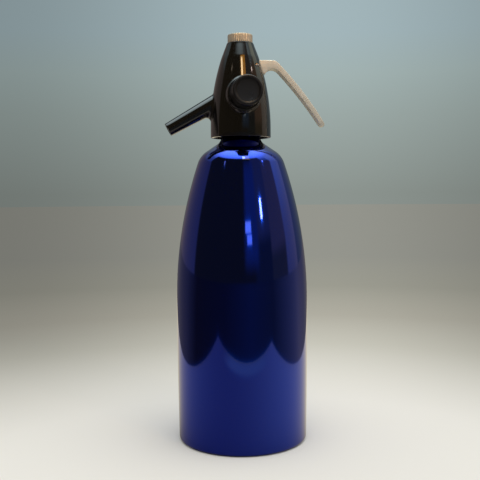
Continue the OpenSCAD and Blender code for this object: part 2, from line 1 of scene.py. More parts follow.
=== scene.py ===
# Soda siphon: a blue metal pressure bottle with a black moulded head, a press lever and a capped charging
# port.
# Sizes in the sections are in millimetres, as on the part itself; every mesh is in metres.

import math

import bpy
from mathutils import Matrix, Vector


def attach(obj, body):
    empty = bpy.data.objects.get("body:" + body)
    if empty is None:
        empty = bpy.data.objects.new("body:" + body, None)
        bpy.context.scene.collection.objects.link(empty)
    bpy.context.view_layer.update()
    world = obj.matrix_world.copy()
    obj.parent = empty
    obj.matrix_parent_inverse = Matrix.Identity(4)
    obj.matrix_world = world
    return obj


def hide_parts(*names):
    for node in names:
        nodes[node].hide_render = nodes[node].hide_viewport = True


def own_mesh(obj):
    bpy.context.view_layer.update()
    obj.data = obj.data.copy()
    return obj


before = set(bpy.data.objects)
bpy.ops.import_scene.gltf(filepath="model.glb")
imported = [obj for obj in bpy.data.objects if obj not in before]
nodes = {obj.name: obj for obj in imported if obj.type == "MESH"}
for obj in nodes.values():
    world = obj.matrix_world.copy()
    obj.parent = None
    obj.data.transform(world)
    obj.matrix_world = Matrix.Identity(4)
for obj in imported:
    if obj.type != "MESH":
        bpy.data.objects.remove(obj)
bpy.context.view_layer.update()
MM = 0.001

# ---- Camera ----
# A 55 mm lens, 192 mm above the table, 574 mm from the siphon's axis and 7 degrees to the left of the port.
# It looks 3.6 degrees down and leans by 0.42 degrees, as the photograph does.
cam_distance, cam_aside, cam_height = 574, 1.17, 192
cam_azimuth, cam_pitch, cam_roll = math.radians(-7), math.radians(3.6), math.radians(0.42)
sideways = Vector((math.cos(cam_azimuth), math.sin(cam_azimuth), 0))
level = Vector((-math.sin(cam_azimuth), math.cos(cam_azimuth), 0))
forward = level * math.cos(cam_pitch) - Vector((0, 0, math.sin(cam_pitch)))
upward = level * math.sin(cam_pitch) + Vector((0, 0, math.cos(cam_pitch)))
cam_right = sideways * math.cos(cam_roll) - upward * math.sin(cam_roll)
cam_up = sideways * math.sin(cam_roll) + upward * math.cos(cam_roll)
eye = (level * -cam_distance - sideways * cam_aside + Vector((0, 0, cam_height))) * MM
camera = bpy.data.objects.new("camera", bpy.data.cameras.new("camera"))
bpy.context.scene.collection.objects.link(camera)
camera.data.sensor_width = 36
camera.data.lens = 55.1
camera.data.clip_start = 0.01
camera.data.clip_end = 50
camera.matrix_world = Matrix(
    [[cam_right[i], cam_up[i], -forward[i], eye[i]] for i in range(3)] + [[0, 0, 0, 1]]
)
bpy.context.scene.camera = camera

# ---- Bottle ----
# Drawn aluminium, 1.2 mm thick, with a domed bottom, a narrow neck and a rolled lip. It is polished and then
# coated with a clear blue lacquer, so it mirrors the room in deep blue and keeps a pale gloss at its sides.


def linear(code):
    """An sRGB hex colour as linear RGBA."""
    values = [int(code[i : i + 2], 16) / 255 for i in (0, 2, 4)]
    return [v / 12.92 if v <= 0.04045 else ((v + 0.055) / 1.055) ** 2.4 for v in values] + [1]


def add(tree, kind, inputs={}, **settings):
    """Adds a node. Its inputs are plain values, or the outputs that feed them."""
    node = tree.nodes.new(kind)
    for name, value in settings.items():
        setattr(node, name, value)
    for name, value in inputs.items():
        if isinstance(value, bpy.types.NodeSocket):
            tree.links.new(value, node.inputs[name])
        else:
            node.inputs[name].default_value = value
    return node


def finish_named(name, **sockets):
    """A new material whose Principled shader has these sockets set. Gives the material, its tree and the
    shader."""
    material = bpy.data.materials.new(name)
    material.use_nodes = True
    tree = material.node_tree
    shader = tree.nodes["Principled BSDF"]
    for socket, value in sockets.items():
        shader.inputs[socket.replace("_", " ")].default_value = value
    return material, tree, shader


def noise(tree, scale, detail, stretch=(1, 1, 1), **more):
    """Cloudy noise on a piece, this many patterns to the metre; a stretch packs it closer along an axis."""
    place = add(tree, "ShaderNodeTexCoord").outputs["Object"]
    if stretch != (1, 1, 1):
        place = add(tree, "ShaderNodeMapping", {"Vector": place, "Scale": stretch}).outputs["Vector"]
    settings = {"Vector": place, "Scale": scale, "Detail": detail, **more}
    return add(tree, "ShaderNodeTexNoise", settings).outputs["Fac"]


def roughen(tree, shader, source, low, high, start=0.0, end=1.0):
    """Varies the roughness from low to high, as a texture goes from start to end."""
    limits = {"From Min": start, "From Max": end, "To Min": low, "To Max": high}
    span = add(tree, "ShaderNodeMapRange", {"Value": source, **limits})
    tree.links.new(span.outputs["Result"], shader.inputs["Roughness"])


def relief(tree, height, strength, distance, below=None, **settings):
    """A normal that a texture raises, by up to a distance in metres, on top of another if one is given."""
    inputs = {"Height": height, "Strength": strength, "Distance": distance}
    if below is not None:
        inputs["Normal"] = below
    return add(tree, "ShaderNodeBump", inputs, **settings).outputs["Normal"]


def arc(centre, radius, start, end, steps):
    """Points on an arc in radius and height, angles in degrees."""
    angles = [math.radians(start + (end - start) * i / steps) for i in range(steps + 1)]
    return [(centre[0] + radius * math.cos(a), centre[1] + radius * math.sin(a)) for a in angles]


def pick(piece):
    """Selects this piece alone and makes it the active one."""
    bpy.ops.object.select_all(action="DESELECT")
    piece.select_set(True)
    bpy.context.view_layer.objects.active = piece


def smooth(piece, angle=30):
    """Shades a piece smooth, but keeps edges sharper than this angle."""
    pick(piece)
    bpy.ops.object.shade_smooth_by_angle(angle=math.radians(angle))


def close_skin(piece, merge=0.0):
    """Merges what lies within this many metres and turns all faces outwards."""
    pick(piece)
    bpy.ops.object.mode_set(mode="EDIT")
    bpy.ops.mesh.select_all(action="SELECT")
    if merge:
        bpy.ops.mesh.remove_doubles(threshold=merge)
        bpy.ops.mesh.select_all(action="SELECT")
    bpy.ops.mesh.normals_make_consistent(inside=False)
    bpy.ops.object.mode_set(mode="OBJECT")


def turned(name, outline, steps=128, closed=False):
    """Turns an outline of (radius, height) points round +Z, as on a lathe."""
    bpy.ops.mesh.primitive_plane_add(size=0.001)
    piece = bpy.context.object
    piece.name = piece.data.name = name
    bpy.ops.object.mode_set(mode="EDIT")
    bpy.ops.mesh.select_all(action="SELECT")
    bpy.ops.mesh.merge(type="CENTER")
    points = [Vector((r * MM, 0, z * MM)) for r, z in outline]
    bpy.ops.transform.translate(value=points[0])
    for here, there in zip(points, points[1:] + points[:1] if closed else points[1:]):
        bpy.ops.mesh.extrude_region_move(TRANSFORM_OT_translate={"value": there - here})
    bpy.ops.mesh.select_all(action="SELECT")
    bpy.ops.mesh.spin(steps=steps, angle=2 * math.pi, center=(0, 0, 0), axis=(0, 0, 1))
    bpy.ops.object.mode_set(mode="OBJECT")
    close_skin(piece, merge=2e-6)
    smooth(piece)
    return piece


def paint(piece, *materials):
    """Gives a piece its materials."""
    piece.data.materials.clear()
    for material in materials:
        piece.data.materials.append(material)


wall, foot_edge, belly_radius, belly_height = 1.2, 3, 51, 108.9
flank_radius, flank_turn = 335.26, 18.595
flank_centre = (belly_radius - flank_radius, belly_height)
shoulder_centre, shoulder_radius, shoulder_turn = (17.388, 210.379), 17, 56
dome_reach, dome_rise = 44, 7


def foot_flank(radius, steps):
    """Points from the rounded foot up to the belly, where the wall swells by 0.9 mm."""
    return [
        (radius + 0.9 * math.sin(math.pi / 2 * i / steps), foot_edge + (belly_height - foot_edge) * i / steps)
        for i in range(1, steps)
    ]


base_edge = arc((47.1, foot_edge), foot_edge, -90, 0, 10)
flank = foot_flank(50.1, 24) + arc(flank_centre, flank_radius, 0, flank_turn, 90)
shoulder = arc(shoulder_centre, shoulder_radius, flank_turn, shoulder_turn, 28)[1:]
neck_fillet = arc((23.6, 237.551), 9, 236, 180, 20)
lip = [(14.6, 247.9), (15.2, 248.65), (15.8, 248.65)] + arc((15.8, 249.851), 1.2, -90, 90, 14)
lip += [(13.6, 251.051)] + arc((13.6, 250.451), 0.6, 90, 180, 5)[1:]
inner_shoulder = arc(shoulder_centre, shoulder_radius - wall, shoulder_turn, flank_turn, 20)
inner_flank = arc(flank_centre, flank_radius - wall, flank_turn, 0, 50) + foot_flank(50.1 - wall, 12)[::-1]
inner_floor = arc((47.1, foot_edge), foot_edge - wall, 0, -90, 5)
dome_radius = (dome_reach**2 + dome_rise**2) / (2 * dome_rise)
dome = [
    (dome_reach * i / 20, dome_rise - dome_radius + math.sqrt(dome_radius**2 - (dome_reach * i / 20) ** 2))
    for i in range(21)
]
outline = dome + base_edge + flank + shoulder + neck_fillet + lip
outline += [(13, 226.5)] + [(r, z) for r, z in inner_shoulder if r > 13] + inner_flank + inner_floor
outline += [(r, z + wall) for r, z in reversed(dome)]
bottle = turned("bottle_shell", outline, steps=192)

blue, tree, shader = finish_named(
    "lacquered_aluminium_blue",
    Base_Color=linear("0d3ecb"),
    Metallic=1.0,
    Roughness=0.08,
    Coat_Weight=1.0,
    Coat_Roughness=0.02,
    Coat_IOR=1.5,
)
# The drawn wall is true to about 0.02 mm over 30 mm, which just stirs the long reflections.
swell = relief(tree, noise(tree, 33.0, 1.0), 0.35, 0.00005)
# Fine orange peel of the lacquer, 1.6 mm across.
peel = relief(tree, noise(tree, 620.0, 2.0), 0.25, 0.000004, below=swell)
tree.links.new(peel, shader.inputs["Normal"])
tree.links.new(swell, shader.inputs["Coat Normal"])

bare, tree, shader = finish_named(
    "drawn_aluminium_bare", Base_Color=linear("c9c9c8"), Metallic=1.0, Roughness=0.34
)
# The drawing tools leave rings round the metal, 0.3 mm apart, by turns bright and dull.
roughen(tree, shader, noise(tree, 260.0, 4.0, (1, 1, 14)), 0.24, 0.46)

# The neck from the ring up, the inside and the inner floor are bare.
paint(bottle, blue, bare)
for face in bottle.data.polygons:
    height = face.center.z / MM
    outward = face.normal.x * face.center.x + face.normal.y * face.center.y > 0
    inside_floor = face.normal.z > 0.3 and height < 20
    if height > 239 or (not outward and height > 12) or inside_floor:
        face.material_index = 1
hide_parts("bottle")
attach(bottle, "bottle")

# ---- Neck ring and seal ----
# A threaded aluminium ring sits on the neck under the rolled lip, and the head screws on it. A thin moulded
# tube hangs in the neck by its flange and sets the filling level, and a rubber washer seals between lip and
# head.
LIP = 251.051


def thread(piece, radius, low, high, pitch, depth):
    """Rolls a right-hand thread into an upright piece's outer surface, between two heights in mm."""
    for vertex in piece.data.vertices:
        out = math.hypot(vertex.co.x, vertex.co.y) / MM
        height = vertex.co.z / MM
        if out > radius - 0.01 and low < height < high:
            turns = height / pitch - math.atan2(vertex.co.y, vertex.co.x) / (2 * math.pi)
            run_out = min(1, (height - low) / pitch, (high - height) / pitch)
            groove = depth * run_out * (0.5 - 0.5 * math.cos(2 * math.pi * turns))
            vertex.co.x *= 1 - groove / out
            vertex.co.y *= 1 - groove / out
    piece.data.update()
    smooth(piece, 50)


ring_outline = [(14.75, LIP - 12.4), (18.2, LIP - 12.4)]
ring_outline += [(18.6, LIP - 12.0 + 9.2 * i / 46) for i in range(47)]
ring_outline += [(18.2, LIP - 2.4), (14.75, LIP - 2.4)]
neck_ring = turned("neck_ring_threaded", ring_outline, steps=144, closed=True)
thread(neck_ring, 18.6, LIP - 12, LIP - 2.8, pitch=2.5, depth=0.75)
paint(neck_ring, bare)
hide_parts("neck_ring")
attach(neck_ring, "bottle")

plastic, tree, shader = finish_named(
    "moulded_polypropylene", Base_Color=linear("e4e1d6"), Roughness=0.32, Transmission_Weight=0.25, IOR=1.49
)
# Faint drawing lines along the tubes, a millimetre apart round them.
roughen(tree, shader, noise(tree, 900.0, 2.0, (1, 1, 0.02)), 0.22, 0.44)

tube_outline = [(12, LIP - 37.8), (12.2, LIP - 38), (12.6, LIP - 38), (12.8, LIP - 37.8), (12.8, LIP + 0.15)]
tube_outline += [(14.5, LIP + 0.15), (14.7, LIP + 0.35), (14.7, LIP + 0.95), (14.5, LIP + 1.15)]
tube_outline += [(12.4, LIP + 1.15), (12, LIP + 0.75)]
measuring_tube = turned("neck_measuring_tube", tube_outline, steps=96, closed=True)
paint(measuring_tube, plastic)
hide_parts("measuring_tube")
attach(measuring_tube, "measuring_tube")


def tint(tree, shader, source, first, second):
    """Varies the colour from one hex tone to another, as a texture goes from 0 to 1."""
    tones = {"A": linear(first), "B": linear(second)}
    tone = add(tree, "ShaderNodeMix", {"Factor": source, **tones}, data_type="RGBA")
    tree.links.new(tone.outputs["Result"], shader.inputs["Base Color"])


rubber, tree, shader = finish_named(
    "moulded_rubber_black", Base_Color=linear("1b1b1c"), Roughness=0.6, Specular_IOR_Level=0.4
)
# Talc-dusted grain of moulded rubber, 0.4 mm across.
dust = noise(tree, 2400.0, 3.0)
tint(tree, shader, dust, "141415", "2b2a29")
tree.links.new(relief(tree, dust, 0.4, 0.00003), shader.inputs["Normal"])

washer_outline = arc((15.35, LIP + 0.5), 0.35, 180, 270, 4) + arc((16.95, LIP + 0.5), 0.35, 270, 360, 4)
washer_outline += arc((16.95, LIP + 1.5), 0.35, 0, 90, 4) + arc((15.35, LIP + 1.5), 0.35, 90, 180, 4)
neck_washer = turned("neck_washer_ring", washer_outline, steps=96, closed=True)
paint(neck_washer, rubber)
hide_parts("neck_washer")
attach(neck_washer, "neck_washer")

# ---- Dip tube ----
# Extruded tube from the valve block down to the bottle's bottom, cut on the slant so that it can't seal
# itself there. A brass nut clamps its flange and washer to the spigot.
tube_outline = [(2.8, 10.7), (4, 10.7), (4, 20), (4, 243.85), (6.3, 243.85), (6.5, 244.05), (6.5, 245.15)]
tube_outline += [(6.3, 245.35), (2.8, 245.35), (2.8, 20)]
dip_tube = turned("dip_tube_slant_cut", tube_outline, steps=64, closed=True)
for vertex in dip_tube.data.vertices:
    if vertex.co.z < 11 * MM:
        vertex.co.z += (vertex.co.x + 4 * MM) * math.tan(math.radians(20))
paint(dip_tube, plastic)
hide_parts("dip_tube")
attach(dip_tube, "head")

brass, tree, shader = finish_named(
    "turned_brass", Base_Color=linear("c9a25a"), Metallic=1.0, Roughness=0.24
)
# Cloudy tarnish, some 5 mm across, and a fine tool finish.
tint(tree, shader, noise(tree, 200.0, 4.0), "a98143", "dcbc78")
roughen(tree, shader, noise(tree, 3000.0, 2.0), 0.16, 0.36)


def refinish(material, *names):
    """Gives CAD nodes that keep their own shape their material."""
    for name in names:
        for slot in nodes[name].material_slots:
            slot.material = material


refinish(brass, "tube_nut")
refinish(rubber, "tube_seal")

# ---- Head casing ----
# One polished black moulding: an upright skirt, a long drawn-in body, a spout at the left and a boss for the
# charging port at the front, both blended into the body by small fillets.
skirt_radius, curve_radius, curve_from, cone_from = 23.25, 171.4, -9, 45
curve_centre = skirt_radius - curve_radius
curve_turn = math.degrees(math.asin((cone_from - curve_from) / curve_radius))
cone_radius = curve_centre + curve_radius * math.cos(math.radians(curve_turn))
casing = [(21, -15.8)] + arc((22.75, -15.3), 0.5, -90, 0, 5)
casing += arc((curve_centre, curve_from), curve_radius, 0, curve_turn, 60)
casing += [(cone_radius + (10.3 - cone_radius) * i / 10, cone_from + 10.9 * i / 10) for i in range(1, 10)]
casing += arc((9.9, 55.9), 0.4, 10, 90, 5)
casing += [(9.2, 56.3), (9.2, 55.5), (8.65, 55.5), (8.65, 45)]
inner_start = math.degrees(math.asin((2.1 - curve_from) / curve_radius))
casing += arc((curve_centre, curve_from), curve_radius - 2.2, curve_turn, inner_start, 20) + [(21, 2.1)]
head = turned("casing_body", [(r, z + LIP) for r, z in casing], steps=192, closed=True)


def cut(piece, tool):
    """Cuts a tool's shape out of a piece and removes the tool."""
    pick(piece)
    modifier = piece.modifiers.new("cut", "BOOLEAN")
    modifier.object = tool
    modifier.operation = "DIFFERENCE"
    modifier.solver = "EXACT"
    bpy.ops.object.modifier_apply(modifier=modifier.name)
    bpy.data.objects.remove(tool)


def block(name, low, high, edge=0.0):
    """A block between two corners in mm, its edges rounded."""
    middle = [(a + b) / 2 * MM for a, b in zip(low, high)]
    bpy.ops.mesh.primitive_cube_add(size=1, location=middle, scale=[(b - a) * MM for a, b in zip(low, high)])
    piece = bpy.context.object
    piece.name = piece.data.name = name
    bpy.ops.object.transform_apply(location=True, rotation=True, scale=True)
    if edge:
        bpy.ops.object.mode_set(mode="EDIT")
        bpy.ops.mesh.select_all(action="SELECT")
        bpy.ops.mesh.bevel(offset=edge * MM, segments=3, affect="EDGES")
        bpy.ops.object.mode_set(mode="OBJECT")
    return piece


def clearance_to_body(point):
    """How far a point (mm, heights from the lip) is outside the casing's skin, and the skin's normal."""
    radius, height = math.hypot(point.x, point.y), point.z
    if height < curve_from:
        gap, across, rise = radius - skirt_radius, 1, 0
    else:
        across, rise = radius - curve_centre, height - curve_from
        length = math.hypot(across, rise)
        gap, across, rise = length - curve_radius, across / length, rise / length
    return gap, Vector((point.x / radius * across, point.y / radius * across, rise))


def skinned(name, rings, closed=False, angle=30):
    """A piece whose skin runs from ring to ring, and back to the first ring or over flat ends."""
    count, last = len(rings[0]), len(rings)
    faces = [
        (k * count + i, k * count + j, (k + 1) % last * count + j, (k + 1) % last * count + i)
        for k in range(last if closed else last - 1)
        for i, j in ((i, (i + 1) % count) for i in range(count))
    ]
    if not closed:
        faces += [tuple(range(count)), tuple(range((last - 1) * count, last * count))]
    mesh = bpy.data.meshes.new(name)
    mesh.from_pydata([point for ring in rings for point in ring], [], faces)
    piece = bpy.data.objects.new(name, mesh)
    bpy.context.scene.collection.objects.link(piece)
    close_skin(piece)
    smooth(piece, angle)
    return piece


def branch(name, origin, axis, radius_at, end, edge, bore, fillet, inner, steps=128):
    """A tube that grows out of the casing: bore, end face, rounded edge, side, and a fillet onto the body."""
    axis = Vector(axis).normalized()
    one = axis.cross(Vector((0, 0, 1))).normalized()
    two = axis.cross(one).normalized()
    origin = Vector(origin)
    rings = []
    for k in range(steps):
        turn = 2 * math.pi * k / steps
        out = one * math.cos(turn) + two * math.sin(turn)
        low, high = 0.0, end
        for _ in range(40):
            middle = (low + high) / 2
            centre = origin + axis * middle + out * (radius_at(middle) + fillet)
            gap, normal = clearance_to_body(centre)
            low, high = (middle, high) if gap < fillet else (low, middle)
        centre = origin + axis * high + out * (radius_at(high) + fillet)
        gap, normal = clearance_to_body(centre)
        ring = [origin + axis * inner + out * bore, origin + axis * (end - 0.3) + out * bore]
        ring += [origin + axis * end + out * (bore + 0.3)]
        corner = origin + axis * (end - edge) + out * (radius_at(end) - edge)
        for i in range(6):
            a = math.pi / 2 * i / 5
            ring.append(corner + (axis * math.cos(a) + out * math.sin(a)) * edge)
        for i in range(1, 12):
            s = end - edge + (high - end + edge) * i / 12
            ring.append(origin + axis * s + out * radius_at(s))
        for i in range(11):
            towards = (-out).lerp(-normal, i / 10).normalized()
            ring.append(centre + towards * fillet)
        ring.append(centre - normal * (fillet + 0.6))
        rings.append([(point + Vector((0, 0, LIP))) * MM for point in ring])
    return skinned(name, rings, closed=True)


def rod_across(name, centre, radius, half):
    """A round bar along Y through a point (distance from the axis, height above the lip) in mm."""
    bpy.ops.mesh.primitive_cylinder_add(
        vertices=48,
        radius=radius * MM,
        depth=2 * half * MM,
        location=(centre[0] * MM, 0, (LIP + centre[1]) * MM),
        rotation=(math.radians(90), 0, 0),
    )
    piece = bpy.context.object
    piece.name = piece.data.name = name
    bpy.ops.object.transform_apply(location=True, rotation=True, scale=True)
    return piece


pivot = Vector((11.2, 38.3))
cut(head, block("slot", (6, -4.7, LIP + 30.42), (30, 4.7, LIP + 44.6)))
cut(head, rod_across("pin_hole", pivot, 1.52, 24))
smooth(head)
lugs = [
    block("lug_" + side, (7.4, low, LIP + 33.6), (11.6, low + 4.3, LIP + 43), 0.3)
    for side, low in (("front", -9), ("back", 4.7))
]
# The spout comes from this height on the axis, at this slope, and tapers to its end. The port has its own.
spout_height, spout_slope, spout_length, spout_taper = 21.7, math.radians(29.4), 64.4, math.radians(2.1)
spout_way = (-math.cos(spout_slope), 0, -math.sin(spout_slope))
port_height = 15
spout = branch(
    "casing_spout",
    (0, 0, spout_height),
    spout_way,
    lambda s: 5.2 + (spout_length - s) * math.tan(spout_taper),
    end=spout_length,
    edge=0.35,
    bore=3.95,
    fillet=3.2,
    inner=19,
)
boss = branch(
    "casing_boss",
    (0, 0, port_height),
    (0, -1, 0),
    lambda s: 12.75,
    end=25,
    edge=0.8,
    bore=8.55,
    fillet=2.6,
    inner=18.5,
)

# Phenolic resin takes a high polish, and a film of wax lies on it.
black, tree, shader = finish_named(
    "polished_phenolic_black",
    Base_Color=linear("0c0b0a"),
    Roughness=0.09,
    IOR=1.65,
    Coat_Weight=1.0,
    Coat_Roughness=0.06,
    Coat_IOR=1.45,
)
# Handling has left faint dull patches, a few millimetres across, on the polish.
roughen(tree, shader, noise(tree, 150.0, 4.0, Roughness=0.6), 0.06, 0.16, start=0.35, end=0.75)
# Wavy flow of the moulding, 12 mm from crest to crest.
flow = relief(tree, noise(tree, 80.0, 1.0), 0.3, 0.00003)
tree.links.new(flow, shader.inputs["Normal"])
tree.links.new(flow, shader.inputs["Coat Normal"])

for piece in (head, spout, boss, *lugs):
    paint(piece, black)
    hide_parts("head_casing")
    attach(piece, "head")


def stand_along(piece, way, height):
    """Turns a piece made round +Z so that +Z runs out along a way, from a height above the lip."""
    turn = Vector(way).to_track_quat("Z", "Y").to_matrix().to_4x4()
    piece.matrix_world = Matrix.Translation((0, 0, (LIP + height) * MM)) @ turn
    pick(piece)
    bpy.ops.object.transform_apply(location=True, rotation=True, scale=True)


# The liner is a drawn tube pressed into the spout; its end shows as a thin ring round the outlet.
liner_outline = [(3, 11.6), (3.9, 11.6), (3.9, 63.85), (3.75, 64), (3.15, 64), (3, 63.85)]
spout_liner = turned("spout_liner_tube", liner_outline, steps=64, closed=True)
stand_along(spout_liner, spout_way, spout_height)
paint(spout_liner, plastic)
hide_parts("spout_liner")
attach(spout_liner, "head")
refinish(rubber, "spout_seal")

# ---- Valve block and valve ----
# A moulded acetal block fills the casing: its cup takes the neck, its chamber holds a brass seat, and a steel
# spindle with a rubber foot closes on it. A gland nut seals the spindle and a coil spring presses it down.
acetal, tree, shader = finish_named(
    "moulded_acetal_black", Base_Color=linear("17171a"), Roughness=0.42, Specular_IOR_Level=0.45
)
# Sparked mould texture, 0.6 mm across.
spark = noise(tree, 1600.0, 3.0)
roughen(tree, shader, spark, 0.34, 0.52)
tree.links.new(relief(tree, spark, 0.3, 0.00002), shader.inputs["Normal"])
refinish(acetal, "valve_body")
refinish(brass, "valve_seat", "gland_nut")
refinish(rubber, "valve_washer", "spindle_seal")

steel, tree, shader = finish_named(
    "turned_stainless_steel", Base_Color=linear("b9b6b0"), Metallic=1.0, Roughness=0.26
)
# Lathe rings, drawn 0.3 mm apart so that they show.
roughen(tree, shader, noise(tree, 420.0, 3.0, (1, 1, 8)), 0.18, 0.38)
refinish(steel, "spindle", "spindle_collar")

wire, tree, shader = finish_named(
    "drawn_spring_wire", Base_Color=linear("8d8a84"), Metallic=1.0, Roughness=0.34
)
# Oil-tempered wire: cloudy brown over grey, some 2 mm across.
tint(tree, shader, noise(tree, 500.0, 3.0), "6f665b", "a5a29c")
# The coil is merged and smoothed.
spring = bpy.data.objects.new("return_spring_coil", nodes["return_spring"].data.copy())
bpy.context.scene.collection.objects.link(spring)
close_skin(spring, merge=2e-6)
smooth(spring, 50)
paint(spring, wire)
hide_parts("return_spring")
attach(spring, "head")
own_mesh(spring)

# ---- Charging port ----
# A threaded brass nozzle takes a gas bulb's neck: a hollow pin opens the bulb on a rubber gasket, and behind
# it are a sintered filter and a rubber check valve. All of it is hidden while the cap is on.
nozzle_outline = [(1, 13.3), (5.3, 13.3), (5.5, 13.5), (5.5, 17.3), (8.3, 17.3), (8.5, 17.5), (8.5, 25.5)]
nozzle_outline += [(8.5, 26 + 12.4 * i / 62) for i in range(63)]
nozzle_outline += [(7.9, 39.2), (5, 39.2), (4.7, 38.9), (4.7, 27.5), (2.55, 27.5), (2.55, 23.1), (1, 23.1)]
nozzle = turned("charging_nozzle_threaded", nozzle_outline, steps=128, closed=True)
thread(nozzle, 8.5, 26, 38.4, pitch=2, depth=0.6)
stand_along(nozzle, (0, -1, 0), port_height)
paint(nozzle, brass)
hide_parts("charge_nozzle")
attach(nozzle, "head")
refinish(steel, "piercing_pin")
refinish(rubber, "bulb_gasket", "check_valve", "cap_liner")

bronze, tree, shader = finish_named(
    "sintered_bronze", Base_Color=linear("8a6740"), Metallic=0.9, Roughness=0.6
)
place = add(tree, "ShaderNodeTexCoord").outputs["Object"]
# Grains of 0.4 mm, fused at their contacts. Each is painted lighter in its middle and darker towards its
# edge:
# painted shade in the pores between the grains.
grains = add(tree, "ShaderNodeTexVoronoi", {"Vector": place, "Scale": 2500.0}).outputs["Distance"]
tint(tree, shader, grains, "a97f50", "5b4128")
tree.links.new(relief(tree, grains, 0.6, 0.0001, invert=True), shader.inputs["Normal"])
refinish(bronze, "gas_filter")

# ---- Port cap ----
# Round black screw cap over the charging nozzle, moulded in the casing's resin, with a dished front inside a
# narrow rim. Its disc of rubber seals on the nozzle.
cap_outline = [(0, 41.5), (8.3, 41.5), (8.58, 41.2), (8.58, 25.6), (8.9, 25.3)]
cap_outline += arc((10.7, 25.7), 0.4, -90, 0, 4) + arc((10.0, 43.9), 1.1, 0, 90, 10)
cap_outline += arc((9.35, 44.55), 0.45, 90, 200, 6) + arc((8.1, 44.35), 0.35, -20, -90, 4)
cap_outline += [(5, 43.9), (0, 43.85)]
port_cap = turned("port_cap", cap_outline, steps=160)
stand_along(port_cap, (0, -1, 0), port_height)
satin, tree, shader = finish_named("handled_phenolic_satin", Base_Color=linear("171514"), Roughness=0.3)
# Fingers have dulled the polish in patches of about 5 mm.
roughen(tree, shader, noise(tree, 200.0, 4.0, Roughness=0.6), 0.2, 0.42)
paint(port_cap, satin)
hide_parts("charge_cap")
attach(port_cap, "charge_cap")

# ---- Lever ----
# Cast lever, 8.8 mm wide, with softened edges and a satin nickel plate that has yellowed. It has a hub on the
# pin, a fork inside the casing, a flat top, an arch underneath and a long bowed arm with a rounded end.
arch_centre, arch_radius = Vector((24.7, 29.95)), 6.6
under_centre, under_radius = Vector((-193.565, -177.901)), 308
top_centre, top_radius = Vector((-156.165, -142.285)), 261.054
tip, tip_radius, tip_turn, tip_top_turn = Vector((63.9113, -5.43759)), 1.9, 33.8151, 31.8741
arch_turn, crown_turn = 43.6, 44.9325
upper = [Vector((11.2, 42.75)), Vector((12.2, 43.2)), Vector((13.4, 43.5))]
upper += [Vector((13.4 + (25.2476 - 13.4) * i / 8, 43.5)) for i in range(1, 8)]
upper += [Vector(p) for p in arc((25.2476, 38.7), 4.8, 90, crown_turn, 10)]
upper += [Vector(p) for p in arc(top_centre, top_radius, crown_turn, tip_top_turn, 40)]
lower = [Vector((11.2, 33.85)), Vector((14.5, 33.2))]
lower += [Vector(p) for p in arc(arch_centre, arch_radius, 158, arch_turn, 24)]
lower += [Vector(p) for p in arc(under_centre, under_radius, arch_turn, tip_turn, 40)]


def spaced(path, count):
    """The same path with this many points, evenly spaced along it."""
    lengths = [0]
    for a, b in zip(path, path[1:]):
        lengths.append(lengths[-1] + (b - a).length)
    out, k = [], 0
    for i in range(count):
        want = lengths[-1] * i / (count - 1)
        while k < len(path) - 2 and lengths[k + 1] < want:
            k += 1
        step = max(lengths[k + 1] - lengths[k], 1e-9)
        out.append(path[k].lerp(path[k + 1], (want - lengths[k]) / step))
    return out


top_line, bottom_line = spaced(upper, 120), spaced(lower, 120)
for i in range(1, 7):
    swing = 90 * i / 7
    top_line.append(Vector(arc(tip, tip_radius, tip_top_turn - swing, tip_top_turn - swing, 1)[0]))
    bottom_line.append(Vector(arc(tip, tip_radius, tip_turn - 180 + swing, tip_turn - 180 + swing, 1)[0]))


lever_half, round_from, edge_radius = 4.4, 61.41, 0.8


def half_width(x):
    """The lever's half width at this distance from the axis, rounded off in plan at the end."""
    beyond = x - round_from
    if beyond < 0:
        return lever_half
    return max(math.sqrt(max(lever_half**2 - beyond**2, 0)), edge_radius)


rings = []
for high, low in zip(top_line, bottom_line):
    middle, reach = (high + low) / 2, (high - low) / 2
    half = reach.length
    side = half_width(middle.x)
    r = min(edge_radius, half * 0.95, side * 0.95)
    ring = []
    for sx, sz, start in ((1, 1, 0), (-1, 1, 90), (-1, -1, 180), (1, -1, 270)):
        for i in range(5):
            a = math.radians(start + 90 * i / 4)
            y = sx * (side - r) + r * math.cos(a)
            q = middle + reach / half * (sz * (half - r) + r * math.sin(a))
            ring.append(Vector((q.x, y, q.y + LIP)) * MM)
    rings.append(ring)
arm = skinned("lever_arm", rings, angle=40)
hub_outline = [(1.55, -4.3), (1.65, -4.4), (4.2, -4.4), (4.5, -4.1)]
hub_outline += [(4.5, 4.1), (4.2, 4.4), (1.65, 4.4), (1.55, 4.3)]
hub = turned("lever_hub", hub_outline, steps=64, closed=True)
hub_place = Matrix.Translation((pivot.x * MM, 0, (LIP + pivot.y) * MM))
hub.matrix_world = hub_place @ Matrix.Rotation(math.pi / 2, 4, "X")
pick(hub)
bpy.ops.object.transform_apply(location=True, rotation=True, scale=True)
fingers = [
    block("lever_finger_" + side, (-5.5, low, LIP + 36.8), (8, low + 1.6, LIP + 39.8), 0.4)
    for side, low in (("front", -4.4), ("back", 2.8))
]
# Their tops fall away past the spindle by the 12 degrees of the stroke, so that they roll under the collar.
for finger in fingers:
    pick(finger)
    bpy.ops.object.mode_set(mode="EDIT")
    bpy.ops.mesh.select_all(action="SELECT")
    bpy.ops.mesh.bisect(plane_co=(0, 0, LIP * MM), plane_no=(1, 0, 0))
    bpy.ops.object.mode_set(mode="OBJECT")
    for vertex in finger.data.vertices:
        if vertex.co.x < 0 and vertex.co.z > (LIP + 38.3) * MM:
            vertex.co.z += vertex.co.x * math.tan(math.radians(12))
bridge = block("lever_bridge", (3.2, -4.4, LIP + 36.8), (8, 4.4, LIP + 39.8), 0.4)

